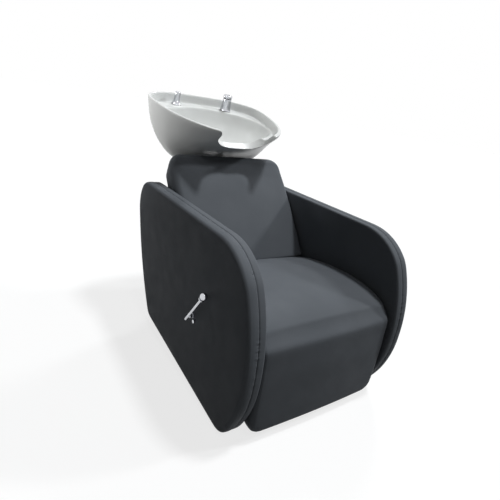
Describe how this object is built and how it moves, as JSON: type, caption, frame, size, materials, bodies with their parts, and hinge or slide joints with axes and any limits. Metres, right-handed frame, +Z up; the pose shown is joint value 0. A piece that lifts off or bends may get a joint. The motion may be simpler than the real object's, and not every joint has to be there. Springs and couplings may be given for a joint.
{
  "type": "shampoo chair",
  "caption": "Salon backwash unit: upholstered armchair with round side panels, reclined back, sliding seat, side lever, and a tilting ceramic basin with neck notch and taps.",
  "frame": {"origin": "on the floor, in the chair's mirror plane, under the middle of the side panels, at the centre of the middle glide", "axes": "+Z up, +Y from the seat's front towards the bowl, +X to the sitter's left"},
  "size_m": [0.7215, 1.1781, 1.0067],
  "materials": {
    "leather": "fine grained black leatherette, satin",
    "plywood": "raw birch plywood",
    "frame_paint": "black powder coat",
    "zinc_steel": "bright zinc",
    "rubber": "matt black",
    "ceramic": "glossy white glaze",
    "chrome": "polished chrome",
    "brass": "turned brass",
    "cover_plastic": "textured black sheet"
  },
  "bodies": {
    "frame": {"left_side_pad": "leather", "right_side_pad": "leather", "left_side_lining": "leather", "right_side_lining": "leather", "back_cushion": "leather", "left_side_board": "plywood", "right_side_board": "plywood", "back_board": "plywood", "cover_cleats": "plywood", "floor_rails": "frame_paint", "deck_rails": "frame_paint", "frame_posts": "frame_paint", "cross_tubes": "frame_paint", "back_posts": "frame_paint", "bowl_column": "frame_paint", "column_fork": "frame_paint", "seat_channels": "zinc_steel", "panel_spacers": "zinc_steel", "panel_bolts": "zinc_steel", "back_screws": "zinc_steel", "column_bolts": "zinc_steel", "tilt_pins": "zinc_steel", "floor_glides": "rubber", "lever_bush": "chrome", "lever_stop": "chrome", "rear_cover": "cover_plastic"},
    "seat": {"seat_cushion": "leather", "seat_skirt": "leather", "seat_board": "plywood", "seat_frame_rails": "plywood", "skirt_board": "plywood", "seat_runners": "zinc_steel", "brake_bar": "zinc_steel"},
    "bowl_unit": {"bowl": "ceramic", "bowl_cradle": "frame_paint", "cradle_ears": "frame_paint", "cradle_bolts": "zinc_steel", "drain_strainer": "chrome", "drain_waste": "brass", "drain_seal": "rubber", "drain_nut": "brass", "mixer_gasket": "rubber", "mixer_body": "chrome", "mixer_nut": "brass", "shower_holder": "chrome", "shower_nut": "brass"},
    "mixer_handle": {"mixer_cap": "chrome", "mixer_spindle": "brass"},
    "shower": {"hand_shower": "chrome"},
    "lever": {"lever_shaft": "chrome", "lever_hub": "chrome", "lever_rod": "chrome", "lever_collar": "chrome", "lever_ball": "chrome", "lever_cam": "zinc_steel"}
  },
  "joints": [
    {"name": "seat_slide", "type": "slide", "parent": "frame", "child": "seat", "axis": [0, -1, 0], "range_m": [0, 0.09]},
    {"name": "lever_turn", "type": "hinge", "parent": "frame", "child": "lever", "pos_m": [-0.345, -0.118, 0.303], "axis": [-1, 0, 0], "range_deg": [0, 40]},
    {"name": "bowl_tilt", "type": "hinge", "parent": "frame", "child": "bowl_unit", "pos_m": [0, 0.515, 0.64], "axis": [-1, 0, 0], "range_deg": [0, 14]},
    {"name": "mixer_turn", "type": "hinge", "parent": "bowl_unit", "child": "mixer_handle", "pos_m": [0.13, 0.676, 0.92876], "axis": [0, -0.2055, 0.9787], "range_deg": [-50, 50]},
    {"name": "shower_lift", "type": "slide", "parent": "bowl_unit", "child": "shower", "axis": [0, -0.2055, 0.9787], "range_m": [0, 0.06]}
  ]
}
